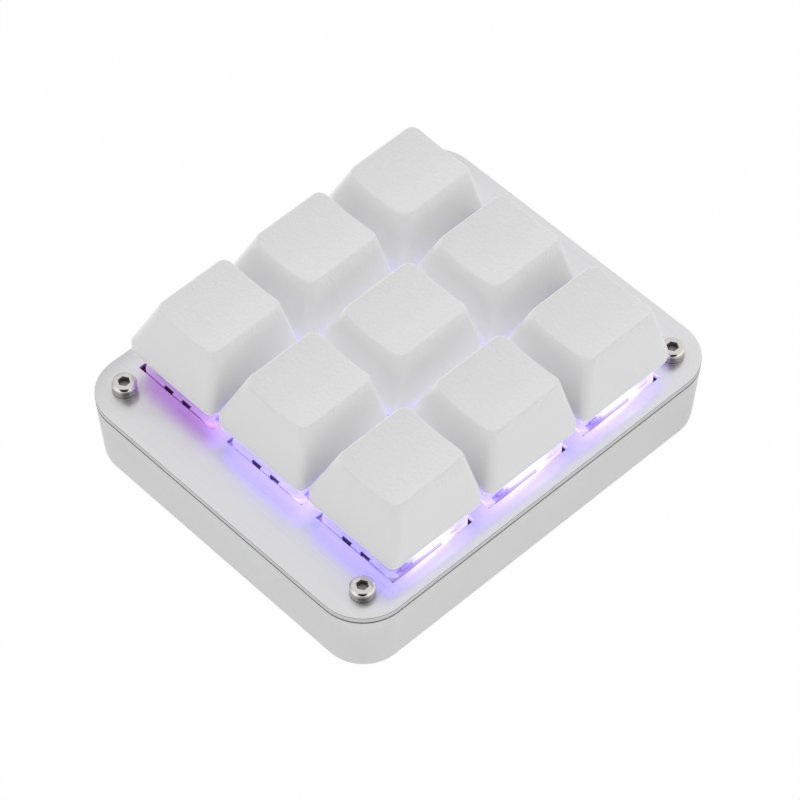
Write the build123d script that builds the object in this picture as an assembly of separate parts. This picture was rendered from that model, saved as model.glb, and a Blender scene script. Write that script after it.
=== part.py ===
from build123d import *
import math
import os

# Nine-key macro keypad: a drafted metal tray, a brushed cover plate and nine push-key switches.
# Frame: +X to the user's right, +Y away from the user, +Z up, in millimetres.
# Origin: the middle of the keypad, on the desk under its feet.

# Key grid
column_names = ("left", "centre", "right")
row_names = ("front", "middle", "back")

# Cover plate
plate_thickness = 1.0
plate_web = 3.05
plate_side_margin = 3.65
plate_end_margin = 9.65
plate_corner_radius = 7.4

# Case tray
wall_thickness = 2.0
wall_draft = 0.82
floor_thickness = 2.0
case_edge_radius = 0.5
cavity_corner_radius = 4.6
corner_post_diameter = 5.0
standoff_diameter = 5.0

# Cover screws and board screws
screw_inset = 5.3
screw_diameter = 2.0
cover_screw_length = 6.0
cap_head_diameter = 3.8
cap_head_height = 2.0
cap_head_radius = 0.35
hex_socket_width = 1.5
hex_socket_depth = 1.0
board_screw_length = 4.0
pan_head_diameter = 3.8
pan_head_height = 1.3
pan_head_radius = 0.5
cross_recess_length = 2.0
cross_recess_width = 0.5
cross_recess_depth = 0.7
screw_hole_clearance = 0.2
screw_thread_clearance = 0.05
screw_end_room = 0.4

# Rubber feet
foot_diameter = 8.0
foot_height = 1.0
foot_recess = 0.4
foot_inset = 7.0
foot_edge_radius = 0.3
foot_clearance = 0.1

# Circuit board
board_thickness = 1.6
board_room = 3.0
board_edge_clearance = 0.4

# Switch housings
switch_body = 14.0
switch_body_height = 5.0
switch_body_radius = 0.6
switch_wall = 0.9
base_floor = 1.0
flange_overhang = 0.8
flange_thickness = 1.0
flange_radius = 1.5
flange_clearance = 0.2
notch_spacing = 3.8
notch_width = 1.9
notch_depth = 0.4
top_height = 5.6
top_inset = 0.1
top_radius = 1.0
roof_thickness = 1.0
leg_thickness = 0.45
leg_width = 2.0
leg_spacing = 9.4
leg_length = 2.5
leg_root_height = 0.6
leg_edge_inset = 0.3
leg_clearance = 0.1
locating_post_diameter = 4.0
locating_post_length = 3.3
locating_post_floor = 0.6
locating_clearance = 0.1
peg_diameter = 1.7
peg_spacing = 10.16

# Switch stem and spring
key_travel = 4.0
slider_width = 6.8
slider_depth = 5.8
slider_clearance = 0.2
slider_end_gap = 0.8
rail_reach = 0.8
rail_width = 2.0
rail_stop_gap = 0.1
stem_cross_span = 4.0
stem_cross_width = 1.2
stem_cross_height = 3.6
stem_ceiling = 1.2
pole_diameter = 1.8
pole_clearance = 0.3
pole_end_gap = 0.3
collar_height = 1.0
collar_wall = 0.4
spring_wire = 0.3
spring_turns = 11
spring_collar_clearance = 0.2
spring_bore_clearance = 0.35
spring_seat_gap = 0.05

# Keycap
cap_gap = 0.95
cap_end_gap = 0.3
cap_height = 9.55
cap_top_width = 12.7
cap_top_depth = 13.6
cap_top_setback = 1.3
cap_top_tilt = 2.1
cap_base_radius = 1.4
cap_top_radius = 1.9
cap_rim_radius = 0.4
cap_wall = 1.3
cap_inner_radius = 0.5
cap_ceiling = 1.5
cap_dish_depth = 0.6
cap_post_diameter = 5.5
cap_post_root = 0.8
cap_post_gap = 0.1
cap_slot_clearance = 0.05

# Contacts and hot-swap sockets
contact_thickness = 0.3
contact_pin_width = 1.4
contact_clearance = 0.1
contact_wall_gap = 0.87
contact_gap = 0.6
contact_top_gap = 0.4
fixed_pin_x = 2.54
fixed_blade_width = 3.0
moving_pin_x = -3.81
moving_pin_y = 2.54
moving_blade_width = 6.2
socket_height = 1.85
socket_bore = 1.8
socket_tube = 2.8
socket_tube_clearance = 0.1
socket_border = 0.9
socket_post_gap = 0.2

# Lights, diodes and the controller
led_width = 3.2
led_depth = 2.8
led_offset = 5.08
led_clearance = 0.1
led_step = 0.3
led_wing = 1.2
diode_length = 2.7
diode_width = 1.6
diode_height = 1.1
diode_lead_width = 0.6
diode_lead_thickness = 0.15
diode_lead_reach = 0.5
diode_offset_x = 6.6
diode_offset_y = 3.5
controller_size = 6.0
controller_height = 0.9
controller_edge_gap = 0.9
capacitor_length = 1.6
capacitor_width = 0.8
capacitor_height = 0.8
capacitor_gap = 1.0
capacitors_each_side = 3

# Cord inlet
inlet_width = 8.94
inlet_height = 3.26
inlet_length = 7.3
inlet_wall = 0.3
inlet_setback = 0.5
inlet_window_clearance = 0.22
inlet_tab_width = 1.1
inlet_tab_clearance = 0.15
tongue_width = 6.65
tongue_thickness = 0.7
tongue_setback = 0.6
tongue_block_length = 1.6
tongue_clearance = 0.05

# Heights above the desk
case_bottom = foot_height
floor_top = case_bottom + floor_thickness
board_bottom = floor_top + board_room
board_top = board_bottom + board_thickness
base_floor_top = board_top + base_floor
flange_bottom = board_top + switch_body_height
plate_top = flange_bottom + flange_thickness
plate_bottom = plate_top - plate_thickness
case_height = plate_bottom - case_bottom
roof_top = plate_top + top_height
roof_bottom = roof_top - roof_thickness
stem_top = roof_top + stem_cross_height
spring_ceiling = roof_top - stem_ceiling
slider_bottom = base_floor_top + key_travel + slider_end_gap
post_bottom = board_top - locating_post_length
pole_bottom = post_bottom + locating_post_floor + key_travel + pole_end_gap
cap_base = plate_top + key_travel + cap_end_gap
leg_bottom = flange_bottom - leg_length
socket_bottom = board_bottom - socket_height

# Sizes that follow from the ones above
flange_size = switch_body + 2 * flange_overhang
plate_opening = flange_size + 2 * flange_clearance
key_pitch = plate_opening + plate_web
plate_width = key_pitch * (len(column_names) - 1) + plate_opening + 2 * plate_side_margin
plate_depth = key_pitch * (len(row_names) - 1) + plate_opening + 2 * plate_end_margin
draft_angle = math.degrees(math.atan(wall_draft / case_height))
cavity_width = plate_width - 2 * (wall_draft + wall_thickness)
cavity_depth = plate_depth - 2 * (wall_draft + wall_thickness)
board_width = cavity_width - 2 * board_edge_clearance
board_depth = cavity_depth - 2 * board_edge_clearance
housing_inside = switch_body - 2 * switch_wall
top_base = switch_body - 2 * top_inset
rail_span = slider_width + 2 * rail_reach
top_roof = rail_span + 2 * (slider_clearance + switch_wall)
bore_radius = pole_diameter / 2 + pole_clearance
collar_radius = bore_radius + collar_wall
spring_radius = collar_radius + spring_collar_clearance + spring_wire / 2
stem_bore_radius = spring_radius + spring_wire / 2 + spring_bore_clearance
cap_base_width = key_pitch - cap_gap
fixed_blade_y = housing_inside / 2 - contact_wall_gap - contact_thickness / 2
moving_blade_y = fixed_blade_y - contact_gap - contact_thickness
leg_x = flange_size / 2 - leg_edge_inset - leg_thickness / 2

# Places of what repeats
key_points = {}
for row, row_name in enumerate(row_names):
    for column, column_name in enumerate(column_names):
        key_x = (column - (len(column_names) - 1) / 2) * key_pitch
        key_y = (row - (len(row_names) - 1) / 2) * key_pitch
        key_points[row_name + "_" + column_name] = (key_x, key_y)


def corners(half_x, half_y):
    """The four points at plus and minus the two half sizes."""
    return [(sx * half_x, sy * half_y) for sx in (-1, 1) for sy in (-1, 1)]


cover_screw_points = corners(plate_width / 2 - screw_inset, plate_depth / 2 - screw_inset)
board_screw_points = corners(key_pitch / 2, key_pitch / 2)
foot_points = corners(plate_width / 2 - wall_draft - foot_inset, plate_depth / 2 - wall_draft - foot_inset)
leg_points = corners(leg_x, leg_spacing / 2)


def block(width, depth, bottom, top, x=0.0, y=0.0):
    """Square-cornered block between two heights."""
    return Pos(x, y, (bottom + top) / 2) * Box(width, depth, top - bottom)


def rounded_block(width, depth, radius, bottom, top):
    """Block with rounded upright edges between two heights."""
    return extrude(Pos(0, 0, bottom) * RectangleRounded(width, depth, radius), top - bottom)


def rod(diameter, bottom, top, x=0.0, y=0.0):
    """Upright round rod between two heights."""
    return Pos(x, y, (bottom + top) / 2) * Cylinder(diameter / 2, top - bottom)


def slot_prism(width, height, middle_z, front_y, back_y):
    """Round-ended slot section drawn out along Y."""
    face = Plane(origin=(0, back_y, middle_z), x_dir=(1, 0, 0), z_dir=(0, -1, 0))
    return extrude(face * SlotOverall(width, height), back_y - front_y)


def group(solids):
    """Separate like solids kept together."""
    return Compound(children=list(solids))


# Case, plate, fasteners and feet


def outer_wall_y(height):
    """Y of the back wall's outer face at a height."""
    return plate_depth / 2 - wall_draft * (plate_bottom - height) / case_height


inlet_middle = board_top + inlet_height / 2
inlet_mouth_y = outer_wall_y(inlet_middle) - inlet_setback
inlet_back_y = inlet_mouth_y - inlet_length
inlet_tab_y = inlet_back_y + tongue_block_length


def case():
    rim = Plane(origin=(0, 0, plate_bottom), x_dir=(1, 0, 0), z_dir=(0, 0, -1))
    outline = RectangleRounded(plate_width, plate_depth, plate_corner_radius)
    outside = extrude(rim * outline, case_height, taper=draft_angle)
    outside = fillet(outside.faces().sort_by(Axis.Z)[0].edges(), case_edge_radius)
    cavity = rounded_block(cavity_width, cavity_depth, cavity_corner_radius, floor_top, plate_bottom)
    tray = outside - cavity
    tray += [rod(corner_post_diameter, floor_top, plate_bottom, x, y) for x, y in cover_screw_points]
    tray += [rod(standoff_diameter, floor_top, board_bottom, x, y) for x, y in board_screw_points]
    thread = screw_diameter + 2 * screw_thread_clearance
    cover_hole_end = plate_top - cover_screw_length - screw_end_room
    board_hole_end = board_top - board_screw_length - screw_end_room
    tray -= [rod(thread, cover_hole_end, plate_bottom, x, y) for x, y in cover_screw_points]
    tray -= [rod(thread, board_hole_end, board_bottom, x, y) for x, y in board_screw_points]
    recess = foot_diameter + 2 * foot_clearance
    tray -= [rod(recess, case_bottom, case_bottom + foot_recess, x, y) for x, y in foot_points]
    window_width = inlet_width + 2 * inlet_window_clearance
    window_height = inlet_height + 2 * inlet_window_clearance
    return tray - slot_prism(window_width, window_height, inlet_middle, inlet_back_y, plate_depth / 2)


def cover_plate():
    plate = rounded_block(plate_width, plate_depth, plate_corner_radius, plate_bottom, plate_top)
    for x, y in key_points.values():
        plate -= block(plate_opening, plate_opening, plate_bottom, plate_top, x, y)
    hole = screw_diameter + 2 * screw_hole_clearance
    return plate - [rod(hole, plate_bottom, plate_top, x, y) for x, y in cover_screw_points]


def cover_screw():
    head_top = plate_top + cap_head_height
    head = rod(cap_head_diameter, plate_top, head_top)
    head = fillet(head.edges().group_by(Axis.Z)[-1], cap_head_radius)
    hexagon = RegularPolygon(hex_socket_width / 2, 6, major_radius=False)
    socket = extrude(Pos(0, 0, head_top - hex_socket_depth) * hexagon, hex_socket_depth)
    return head - socket + rod(screw_diameter, plate_top - cover_screw_length, plate_top)


def board_screw():
    head_top = board_top + pan_head_height
    head = rod(pan_head_diameter, board_top, head_top)
    head = fillet(head.edges().group_by(Axis.Z)[-1], pan_head_radius)
    recess_bottom = head_top - cross_recess_depth
    head -= block(cross_recess_length, cross_recess_width, recess_bottom, head_top)
    head -= block(cross_recess_width, cross_recess_length, recess_bottom, head_top)
    return head + rod(screw_diameter, board_top - board_screw_length, board_top)


def rubber_foot():
    foot = rod(foot_diameter, 0, case_bottom + foot_recess)
    return fillet(foot.edges().group_by(Axis.Z)[0], foot_edge_radius)


# Circuit board and what is soldered to it


def pin_points():
    """Where one switch's two contact pins pass through the board."""
    return [(fixed_pin_x, fixed_blade_y), (moving_pin_x, moving_pin_y)]


def board():
    plain = block(board_width, board_depth, board_bottom, board_top)
    post_reach = corner_post_diameter / 2 + board_edge_clearance
    for x, y in cover_screw_points:
        inner_x = abs(x) - post_reach
        inner_y = abs(y) - post_reach
        notch_x = board_width / 2 - inner_x
        notch_y = board_depth / 2 - inner_y
        middle_x = math.copysign(inner_x + notch_x / 2, x)
        middle_y = math.copysign(inner_y + notch_y / 2, y)
        plain -= block(notch_x, notch_y, board_bottom, board_top, middle_x, middle_y)
    hole = screw_diameter + 2 * screw_hole_clearance
    plain -= [rod(hole, board_bottom, board_top, x, y) for x, y in board_screw_points]
    for x, y in key_points.values():
        post_hole = locating_post_diameter + 2 * locating_clearance
        peg_hole = peg_diameter + 2 * locating_clearance
        tube_hole = socket_tube + 2 * socket_tube_clearance
        holes = [rod(post_hole, board_bottom, board_top, x, y)]
        holes += [rod(peg_hole, board_bottom, board_top, x + side * peg_spacing / 2, y) for side in (-1, 1)]
        holes += [rod(tube_hole, board_bottom, board_top, x + px, y + py) for px, py in pin_points()]
        window_x = led_width + 2 * led_clearance
        window_y = led_depth + 2 * led_clearance
        holes.append(block(window_x, window_y, board_bottom, board_top, x, y - led_offset))
        plain -= holes
    tab_x = inlet_wall + 2 * inlet_tab_clearance
    tab_y = inlet_tab_width + 2 * inlet_tab_clearance
    for side in (-1, 1):
        middle_x = side * (inlet_width - inlet_wall) / 2
        plain -= block(tab_x, tab_y, board_bottom, board_top, middle_x, inlet_tab_y)
    return plain


def hot_swap_socket():
    (fixed_x, fixed_y), (moving_x, moving_y) = pin_points()
    reach = socket_tube / 2 + socket_border
    keep_out = locating_post_diameter / 2 + socket_post_gap
    low_y = max(moving_y - reach, peg_diameter / 2 + socket_post_gap)
    plate = block(2 * reach, moving_y + reach - low_y, socket_bottom, board_bottom,
                  moving_x, (low_y + moving_y + reach) / 2)
    plate += block(2 * reach, 2 * reach, socket_bottom, board_bottom, fixed_x, fixed_y)
    bridge_low = max(keep_out, fixed_y - reach)
    bridge_top = moving_y + reach
    plate += block(fixed_x - moving_x, bridge_top - bridge_low, socket_bottom, board_bottom,
                   (fixed_x + moving_x) / 2, (bridge_low + bridge_top) / 2)
    plate -= rod(2 * keep_out, socket_bottom, board_bottom)
    plate += [rod(socket_tube, socket_bottom, board_top, x, y) for x, y in pin_points()]
    return plate - [rod(socket_bore, socket_bottom, board_top, x, y) for x, y in pin_points()]


def key_led():
    wings = block(led_width + 2 * led_wing, led_depth, board_bottom - led_step, board_bottom, 0, -led_offset)
    return wings + block(led_width, led_depth, board_bottom - 2 * led_step, board_top, 0, -led_offset)


def key_diode():
    bottom = board_bottom - diode_height
    body = block(diode_width, diode_length, bottom, board_bottom, -diode_offset_x, -diode_offset_y)
    span = diode_length + 2 * diode_lead_reach
    lead_bottom = board_bottom - diode_lead_thickness
    return body + block(diode_lead_width, span, lead_bottom, board_bottom, -diode_offset_x, -diode_offset_y)


controller_y = -(board_depth / 2 - controller_edge_gap - controller_size / 2)


def microcontroller():
    bottom = board_bottom - controller_height
    return block(controller_size, controller_size, bottom, board_bottom, 0, controller_y)


def capacitors():
    bottom = board_bottom - capacitor_height
    row = []
    for side in (-1, 1):
        for place in range(capacitors_each_side):
            start = controller_size / 2 + capacitor_gap + capacitor_width / 2
            x = side * (start + place * (capacitor_width + capacitor_gap))
            row.append(block(capacitor_width, capacitor_length, bottom, board_bottom, x, controller_y))
    return row


def inlet_shell():
    tube = slot_prism(inlet_width, inlet_height, inlet_middle, inlet_back_y, inlet_mouth_y)
    inside_width = inlet_width - 2 * inlet_wall
    inside_height = inlet_height - 2 * inlet_wall
    tube -= slot_prism(inside_width, inside_height, inlet_middle, inlet_back_y, inlet_mouth_y)
    for side in (-1, 1):
        tab_x = side * (inlet_width - inlet_wall) / 2
        tube += block(inlet_wall, inlet_tab_width, board_bottom, inlet_middle, tab_x, inlet_tab_y)
    return tube


def inlet_tongue():
    width = inlet_width - 2 * (inlet_wall + tongue_clearance)
    height = inlet_height - 2 * (inlet_wall + tongue_clearance)
    holder = slot_prism(width, height, inlet_middle, inlet_back_y, inlet_back_y + tongue_block_length)
    low = inlet_middle - tongue_thickness / 2
    high = inlet_middle + tongue_thickness / 2
    length = inlet_length - tongue_setback
    return holder + block(tongue_width, length, low, high, 0, inlet_back_y + length / 2)


# One key switch, standing on the board at the origin of X and Y


def switch_base():
    base = rounded_block(flange_size, flange_size, flange_radius, flange_bottom, plate_top)
    notch_points = corners(notch_spacing / 2, flange_size / 2 - notch_depth / 2)
    base -= [block(notch_width, notch_depth, flange_bottom, plate_top, x, y) for x, y in notch_points]
    base += rounded_block(switch_body, switch_body, switch_body_radius, board_top, flange_bottom)
    base -= rounded_block(housing_inside, housing_inside, switch_body_radius, base_floor_top, plate_top)
    base += rod(2 * collar_radius, base_floor_top, base_floor_top + collar_height)
    base += rod(locating_post_diameter, post_bottom, board_top)
    base += [rod(peg_diameter, post_bottom, board_top, side * peg_spacing / 2) for side in (-1, 1)]
    base -= rod(2 * bore_radius, post_bottom + locating_post_floor, base_floor_top + collar_height)
    slot_x = leg_thickness + 2 * leg_clearance
    slot_y = leg_width + 2 * leg_clearance
    base -= [block(slot_x, slot_y, leg_bottom - leg_clearance, plate_top, x, y) for x, y in leg_points]
    pin_x = contact_pin_width + 2 * contact_clearance
    pin_y = contact_thickness + 2 * contact_clearance
    base -= [block(pin_x, pin_y, board_top, base_floor_top, x, y) for x, y in pin_points()]
    return base - block(led_width, led_depth, board_top, base_floor_top, 0, -led_offset)


def switch_top():
    roof = Pos(0, 0, roof_top) * RectangleRounded(top_roof, top_roof, top_radius)
    top = loft([Pos(0, 0, plate_top) * RectangleRounded(top_base, top_base, top_radius), roof], ruled=True)
    inside_base = top_base - 2 * switch_wall
    inside_roof = rail_span + 2 * slider_clearance
    ceiling = Pos(0, 0, roof_bottom) * RectangleRounded(inside_roof, inside_roof, switch_body_radius)
    mouth = Pos(0, 0, plate_top) * RectangleRounded(inside_base, inside_base, switch_body_radius)
    inside = loft([mouth, ceiling], ruled=True)
    root_inner = inside_base / 2 + switch_wall / 2
    root_width = leg_x + leg_thickness / 2 - root_inner
    for x, y in leg_points:
        root_x = math.copysign(root_inner + root_width / 2, x)
        top += block(root_width, leg_width, plate_top, plate_top + leg_root_height, root_x, y) - inside
        top += block(leg_thickness, leg_width, leg_bottom, plate_top + leg_root_height, x, y)
    opening_x = slider_width + 2 * slider_clearance
    opening_y = slider_depth + 2 * slider_clearance
    return top - inside - block(opening_x, opening_y, roof_bottom, roof_top)


def switch_stem():
    stem = block(slider_width, slider_depth, slider_bottom, roof_top)
    stem += block(rail_span, rail_width, slider_bottom, roof_bottom - rail_stop_gap)
    stem -= rod(2 * stem_bore_radius, slider_bottom, spring_ceiling)
    stem += rod(pole_diameter, pole_bottom, spring_ceiling)
    stem += block(stem_cross_span, stem_cross_width, roof_top, stem_top)
    return stem + block(stem_cross_width, stem_cross_span, roof_top, stem_top)


spring_start = base_floor_top + spring_seat_gap + spring_wire / 2
spring_end = spring_ceiling - spring_seat_gap - spring_wire / 2
spring_rise = (spring_end - spring_start) / spring_turns


def spring_path():
    """Helix as one chain of paired arcs, each pair half a turn long."""

    def point(turns):
        angle = 2 * math.pi * turns
        height = spring_start + spring_rise * turns
        return Vector(spring_radius * math.cos(angle), spring_radius * math.sin(angle), height)

    def tangent(turns):
        angle = 2 * math.pi * turns
        circle = 2 * math.pi * spring_radius
        return Vector(-circle * math.sin(angle), circle * math.cos(angle), spring_rise).normalized()

    arcs = []
    for half in range(2 * spring_turns):
        first, last = point(half / 2), point((half + 1) / 2)
        start, end = tangent(half / 2), tangent((half + 1) / 2)
        chord = last - first
        along = chord.dot(start + end)
        bend = 2 * (1 - start.dot(end))
        reach = (math.sqrt(along ** 2 + bend * chord.dot(chord)) - along) / bend
        middle = (first + last + (start - end) * reach) * 0.5
        arcs.append(TangentArc(first, middle, tangent=start))
        arcs.append(TangentArc(middle, last, tangent=chord - (start + end) * reach))
    return Wire(arcs)


def switch_spring():
    path = spring_path()
    section = Plane(origin=path @ 0, z_dir=path % 0) * Circle(spring_wire / 2)
    return sweep(section, path=path)


def spring_gap():
    """Least gap between the spring's turns, measured on points along its wire."""
    path = spring_path()
    per_turn = 24
    count = per_turn * spring_turns
    points = [path @ (step / count) for step in range(count + 1)]
    gaps = [(points[low] - points[high]).length
            for low in range(count)
            for high in range(low + per_turn // 2, count + 1)]
    return min(gaps) - spring_wire


def fixed_contact():
    pin = block(contact_pin_width, contact_thickness, post_bottom, base_floor_top, fixed_pin_x, fixed_blade_y)
    top = flange_bottom - contact_top_gap
    return pin + block(fixed_blade_width, contact_thickness, base_floor_top, top, fixed_pin_x, fixed_blade_y)


def moving_contact():
    pin = block(contact_pin_width, contact_thickness, post_bottom, base_floor_top, moving_pin_x, moving_pin_y)
    foot_top = base_floor_top + contact_thickness
    front = moving_pin_y - contact_thickness / 2
    back = moving_blade_y + contact_thickness / 2
    foot = block(contact_pin_width, back - front, base_floor_top, foot_top, moving_pin_x, (front + back) / 2)
    left = moving_pin_x - contact_pin_width / 2
    blade_x = left + moving_blade_width / 2
    top = flange_bottom - contact_top_gap
    blade = block(moving_blade_width, contact_thickness, base_floor_top, top, blade_x, moving_blade_y)
    return pin + foot + blade


# Keycap


def tilted(y, height):
    """Plane through a point, leaning like the cap's top face: higher at the back."""
    lean = math.radians(cap_top_tilt)
    return Plane(origin=(0, y, height), x_dir=(1, 0, 0), z_dir=(0, -math.sin(lean), math.cos(lean)))


def cap_block(wall, lowered, base_radius, top_radius):
    """Drafted block inside the cap's faces by a wall, up to a plane below its top face."""
    share = 1 - lowered / cap_height
    width = cap_base_width + (cap_top_width - cap_base_width) * share - 2 * wall
    depth = cap_base_width + (cap_top_depth - cap_base_width) * share - 2 * wall
    foot = cap_base_width - 2 * wall
    low = Pos(0, 0, cap_base) * RectangleRounded(foot, foot, base_radius)
    plane = tilted(cap_top_setback * share, cap_base + cap_height - lowered)
    return loft([low, plane * RectangleRounded(width, depth, top_radius)], ruled=True)


def keycap():
    cap = cap_block(0, 0, cap_base_radius, cap_top_radius)
    dish_radius = ((cap_top_width / 2) ** 2 + cap_dish_depth ** 2) / (2 * cap_dish_depth)
    top = tilted(cap_top_setback, cap_base + cap_height)
    dish = top.location * Pos(0, 0, dish_radius - cap_dish_depth) * Rot(90, 0, 0)
    cap -= dish * Cylinder(dish_radius, 2 * cap_top_depth)
    rim = cap.faces().sort_by(Axis.Z)[-1].edges()
    cap = fillet(rim, cap_rim_radius)
    cap -= cap_block(cap_wall, cap_dish_depth + cap_ceiling, cap_inner_radius, cap_inner_radius)
    post_foot = roof_top + cap_post_gap
    post_top = cap_base + cap_height - cap_dish_depth - cap_ceiling + cap_post_root
    cap += rod(cap_post_diameter, post_foot, post_top)
    span = stem_cross_span + 2 * cap_slot_clearance
    width = stem_cross_width + 2 * cap_slot_clearance
    slot_top = stem_top + cap_slot_clearance
    return cap - block(span, width, post_foot, slot_top) - block(width, span, post_foot, slot_top)


# Every node, by name

nodes = {
    "case": case(),
    "cover_plate": cover_plate(),
    "cover_screws": group(Pos(x, y, 0) * cover_screw() for x, y in cover_screw_points),
    "rubber_feet": group(Pos(x, y, 0) * rubber_foot() for x, y in foot_points),
    "circuit_board": board(),
    "circuit_board_screws": group(Pos(x, y, 0) * board_screw() for x, y in board_screw_points),
    "microcontroller": microcontroller(),
    "capacitors": group(capacitors()),
    "cord_inlet_shell": inlet_shell(),
    "cord_inlet_tongue": inlet_tongue(),
}

shared_makers = {
    "hot_swap_sockets": hot_swap_socket,
    "key_lights": key_led,
    "key_diodes": key_diode,
    "fixed_contacts": fixed_contact,
    "moving_contacts": moving_contact,
}
for name, maker in shared_makers.items():
    piece = maker()
    nodes[name] = group(Pos(x, y, 0) * piece for x, y in key_points.values())

key_makers = {
    "keycap": keycap,
    "switch_stem": switch_stem,
    "switch_spring": switch_spring,
    "switch_top": switch_top,
    "switch_base": switch_base,
}
for name, maker in key_makers.items():
    piece = maker()
    for place, (x, y) in key_points.items():
        nodes[name + "_" + place] = Pos(x, y, 0) * piece

os.makedirs("parts", exist_ok=True)
for name, shape in nodes.items():
    export_step(shape, os.path.join("parts", name + ".step"))

print("nodes:", len(nodes))
print("least gap between spring turns:", round(spring_gap(), 3))
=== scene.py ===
import math

import bmesh
import bpy
from bpy.props import FloatProperty, FloatVectorProperty, IntProperty, PointerProperty
from mathutils import Matrix, Vector


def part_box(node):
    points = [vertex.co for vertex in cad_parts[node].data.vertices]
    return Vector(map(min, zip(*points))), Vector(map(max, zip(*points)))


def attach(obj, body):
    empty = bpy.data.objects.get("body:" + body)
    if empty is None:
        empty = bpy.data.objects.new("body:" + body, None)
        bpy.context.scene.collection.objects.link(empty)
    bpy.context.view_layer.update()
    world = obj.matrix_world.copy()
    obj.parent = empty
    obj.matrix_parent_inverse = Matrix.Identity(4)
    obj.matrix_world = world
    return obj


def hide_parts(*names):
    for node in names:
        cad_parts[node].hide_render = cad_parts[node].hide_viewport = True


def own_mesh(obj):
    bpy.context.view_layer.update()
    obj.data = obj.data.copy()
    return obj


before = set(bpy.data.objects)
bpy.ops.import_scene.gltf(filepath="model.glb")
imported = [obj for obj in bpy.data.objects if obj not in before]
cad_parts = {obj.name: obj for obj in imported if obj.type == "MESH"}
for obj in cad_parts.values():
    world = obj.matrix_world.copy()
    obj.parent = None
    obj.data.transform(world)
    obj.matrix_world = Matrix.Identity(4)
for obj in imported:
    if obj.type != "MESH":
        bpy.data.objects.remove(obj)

bl_info = {
    "name": "Macro Keypad Dressing",
    "version": (1, 0, 0),
    "blender": (4, 5, 0),
    "location": "View3D > Sidebar > Keypad",
    "description": "Models the keypad's shells, caps, screws and springs, with finishes and stage",
    "category": "Object",
}

MM = 0.001
TINY = 1e-6  # places closer than this, in metres, count as one
NEAR = 0.1 * MM  # edges this close to the tray's bottom or rim belong to it
SMOOTH = math.radians(38)  # faces that meet at less than this are shaded as one
CORNER_STEPS = 20
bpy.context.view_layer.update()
KEYPAD = "keypad"
ROWS = ("front", "middle", "back")
COLUMNS = ("left", "centre", "right")
PLACES = [row + "_" + column for row in ROWS for column in COLUMNS]
PLATE_LOW, PLATE_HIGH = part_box("cover_plate")
CASE_LOW, CASE_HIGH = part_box("case")
SCREW_LOW, SCREW_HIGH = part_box("cover_screws")
BOARD_LOW, BOARD_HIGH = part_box("circuit_board")
INLET_LOW, INLET_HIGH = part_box("cord_inlet_shell")
FEET_LOW, FEET_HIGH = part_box("rubber_feet")
CAP_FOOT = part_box("keycap_middle_centre")[0].z
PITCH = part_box("switch_base_front_centre")[0].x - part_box("switch_base_front_left")[0].x

# Heights between which a finish, its painted glow or its painted shade changes
FOOT_FADE = (CAP_FOOT + 0.15 * MM, CAP_FOOT + 0.4 * MM)
GAP_FADE = (CAP_FOOT + 1.5 * MM, CAP_FOOT + 9.0 * MM)
TOP_GRAIN = (CAP_FOOT + 7.6 * MM, CAP_FOOT + 8.2 * MM)
# Painted contact shadow at a screw's foot, and painted reflection at its collar
SCREW_SHADOW_FOOT = (PLATE_HIGH.z + 0.2 * MM, PLATE_HIGH.z + 0.45 * MM)
SCREW_SHEEN_COLLAR = (SCREW_HIGH.z - 0.75 * MM, SCREW_HIGH.z - 0.65 * MM)
SOCKET_FLOOR = (0.02 * MM, 0.1 * MM)  # above the floor of a screw's socket
HOUSING_FADE = (PLATE_HIGH.z + 0.5 * MM, PLATE_HIGH.z + 1.2 * MM)
FLANGE_TOP = (PLATE_HIGH.z - 0.1 * MM, PLATE_HIGH.z - 0.05 * MM)
BODY_FADE = (PLATE_LOW.z - 0.2 * MM, PLATE_LOW.z + 0.1 * MM)

# Places on a key, from its middle: along is front to back, and beside is left to right.
# A stretch is its start, its end and the softness of both.
TO_RIGHT = (4.8 * MM, 6.6 * MM)
WHITE_ALONG = (-2.6 * MM, 3.4 * MM, 1.4 * MM)
CLIP_ALONG = (-6.5 * MM, -4.4 * MM, 0.05 * MM)
CLIP_BESIDE = (6.9 * MM, 7.42 * MM, 0.05 * MM)
GROOVE_ALONG = (-6.55 * MM, 1.85 * MM, 0.05 * MM)
GROOVE_BESIDE = (7.5 * MM, 9.0 * MM, 0.04 * MM)
FLANGE_FLAT = 6.3 * MM  # the flange's corners start to round here
FLANGE_RIM = (1.3 * MM, 1.4 * MM)  # and its rim of painted glow lies this far out from there

# Places on the keypad, from its middle
GAP_REACH = (11.0 * MM, 27.0 * MM)  # the light between the caps dies away outwards
FRONT_LEFT = (-2.1 * PITCH, -1.7 * PITCH)  # of X plus Y
FRONT_RIGHT = (2.0 * PITCH, 2.6 * PITCH)  # of X minus Y

CLEAR = (0.8, 0.79, 0.88)
# Painted shade of a clear housing in its clip and groove
CLEAR_CLIP_SHADE = (0.34, 0.28, 0.62)
# Painted shade of a clear housing's body below the plate
CLEAR_SHADE = (0.06, 0.03, 0.05)
FINE_RELIEF = 0.02 * MM

FLOOR_HALF = 3.0
FLOOR_DROP = 0.02 * MM  # keeps the floor out of the feet's own plane
FLOOR_GREY = (0.94, 0.94, 0.94, 1)
WHITE = (1, 1, 1, 1)
PATCH_EDGE = (0.8, 0.92)  # cosines of the angles from the middle of the dim patch
PATCH_LEVEL = 0.02
LEFT_FADE = (-1.0, -0.5)  # X of the directions in which the surround dims
FRAME_WIDTH = 36.0  # of the camera, in millimetres


def key_centre(place):
    """Middle of a key in X and Y, from its switch housing."""
    low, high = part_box("switch_base_" + place)
    return (low + high) / 2


# Sizes and colours that a user would change


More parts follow.
